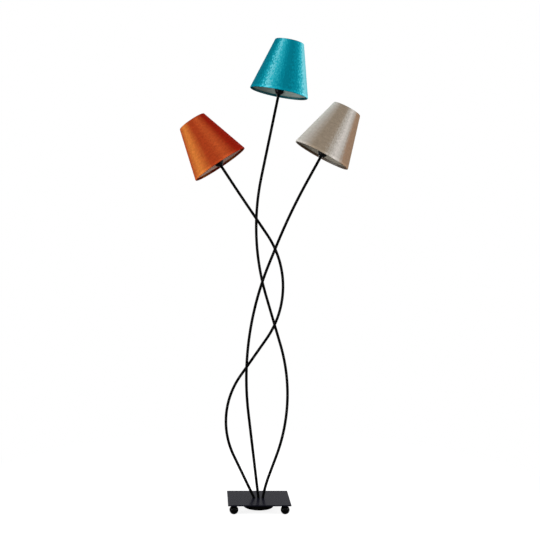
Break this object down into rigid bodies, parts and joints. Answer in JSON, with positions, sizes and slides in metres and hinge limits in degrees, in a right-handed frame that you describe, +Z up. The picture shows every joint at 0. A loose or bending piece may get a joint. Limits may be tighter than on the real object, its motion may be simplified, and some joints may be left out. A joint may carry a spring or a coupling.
{
  "type": "floor lamp",
  "caption": "Free-standing floor lamp: bent black tubes rise from a flat plate on ball feet, cross and carry tilted velvet cone shades in orange, teal and beige.",
  "frame": {"origin": "on the floor, under the middle of the base plate", "axes": "+Z up along the lamp's height, +X to the right along the plate's long edge, front towards -Y"},
  "size_m": [0.602, 0.2372, 1.5998],
  "materials": {
    "black_powder_coat": "satin powder coat on steel",
    "black_lacquer": "gloss lacquer",
    "black_cast_iron": "matte black paint on a casting",
    "zinc_plated_steel": "bright zinc plating",
    "black_phenolic": "moulded, satin",
    "grey_phenolic": "moulded, matte",
    "brass": "stamped",
    "nickel_plated_cap": "rolled screw cap",
    "opal_glass": "frosted opal",
    "orange_velvet": "crushed velvet pile",
    "teal_velvet": "crushed velvet pile",
    "beige_velvet": "crushed velvet pile",
    "white_styrene_lining": "matte sheet",
    "white_painted_wire": "epoxy paint on wire",
    "pvc_cable": "smooth sheath",
    "white_polyamide": "moulded",
    "black_rubber": "moulded"
  },
  "bodies": {
    "stand": {"base_plate": "black_powder_coat", "cord_gland": "black_rubber", "counterweight": "black_cast_iron", "foot_front_left": "black_lacquer", "foot_front_right": "black_lacquer", "foot_rear_left": "black_lacquer", "foot_rear_right": "black_lacquer", "foot_studs": "zinc_plated_steel", "holder_nuts": "zinc_plated_steel", "left_cable": "pvc_cable", "left_centre_contact": "brass", "left_holder_cap": "black_phenolic", "left_holder_skirt": "black_phenolic", "left_socket_insert": "grey_phenolic", "left_socket_shell": "brass", "left_tube": "black_powder_coat", "right_cable": "pvc_cable", "right_centre_contact": "brass", "right_holder_cap": "black_phenolic", "right_holder_skirt": "black_phenolic", "right_socket_insert": "grey_phenolic", "right_socket_shell": "brass", "right_tube": "black_powder_coat", "terminal_block": "white_polyamide", "top_cable": "pvc_cable", "top_centre_contact": "brass", "top_holder_cap": "black_phenolic", "top_holder_skirt": "black_phenolic", "top_socket_insert": "grey_phenolic", "top_socket_shell": "brass", "top_tube": "black_powder_coat", "tube_nuts": "zinc_plated_steel", "tube_washers": "zinc_plated_steel", "weight_screws": "zinc_plated_steel"},
    "left_shade": {"left_shade_velvet": "orange_velvet", "left_shade_liner": "white_styrene_lining", "left_shade_frame": "white_painted_wire", "left_shade_top_ring": "white_painted_wire"},
    "left_clamp_ring": {"left_shade_ring": "black_phenolic"},
    "left_bulb": {"left_bulb_glass": "opal_glass", "left_bulb_cap": "nickel_plated_cap"},
    "right_shade": {"right_shade_velvet": "beige_velvet", "right_shade_liner": "white_styrene_lining", "right_shade_frame": "white_painted_wire", "right_shade_top_ring": "white_painted_wire"},
    "right_clamp_ring": {"right_shade_ring": "black_phenolic"},
    "right_bulb": {"right_bulb_glass": "opal_glass", "right_bulb_cap": "nickel_plated_cap"},
    "top_shade": {"top_shade_velvet": "teal_velvet", "top_shade_liner": "white_styrene_lining", "top_shade_frame": "white_painted_wire", "top_shade_top_ring": "white_painted_wire"},
    "top_clamp_ring": {"top_shade_ring": "black_phenolic"},
    "top_bulb": {"top_bulb_glass": "opal_glass", "top_bulb_cap": "nickel_plated_cap"}
  },
  "joints": [
    {"name": "left_shade_turn", "type": "hinge", "parent": "stand", "child": "left_shade", "pos_m": [-0.1325, 0.01, 1.179], "axis": [-0.5489, 0.0527, 0.8343], "continuous": true},
    {"name": "left_shade_ring_unscrew", "type": "hinge", "parent": "stand", "child": "left_clamp_ring", "pos_m": [-0.1325, 0.01, 1.179], "axis": [-0.5489, 0.0527, 0.8343], "range_deg": [0, 1080]},
    {"name": "left_bulb_unscrew", "type": "hinge", "parent": "stand", "child": "left_bulb", "pos_m": [-0.1325, 0.01, 1.179], "axis": [-0.5489, 0.0527, 0.8343], "range_deg": [0, 1620]},
    {"name": "right_shade_turn", "type": "hinge", "parent": "stand", "child": "right_shade", "pos_m": [0.2058, -0.0285, 1.207], "axis": [0.4787, -0.0191, 0.8778], "continuous": true},
    {"name": "right_shade_ring_unscrew", "type": "hinge", "parent": "stand", "child": "right_clamp_ring", "pos_m": [0.2058, -0.0285, 1.207], "axis": [0.4787, -0.0191, 0.8778], "range_deg": [0, 1080]},
    {"name": "right_bulb_unscrew", "type": "hinge", "parent": "stand", "child": "right_bulb", "pos_m": [0.2058, -0.0285, 1.207], "axis": [0.4787, -0.0191, 0.8778], "range_deg": [0, 1620]},
    {"name": "top_shade_turn", "type": "hinge", "parent": "stand", "child": "top_shade", "pos_m": [0.0653, 0.01, 1.4185], "axis": [0.2011, -0.0171, 0.9794], "continuous": true},
    {"name": "top_shade_ring_unscrew", "type": "hinge", "parent": "stand", "child": "top_clamp_ring", "pos_m": [0.0653, 0.01, 1.4185], "axis": [0.2011, -0.0171, 0.9794], "range_deg": [0, 1080]},
    {"name": "top_bulb_unscrew", "type": "hinge", "parent": "stand", "child": "top_bulb", "pos_m": [0.0653, 0.01, 1.4185], "axis": [0.2011, -0.0171, 0.9794], "range_deg": [0, 1620]}
  ]
}
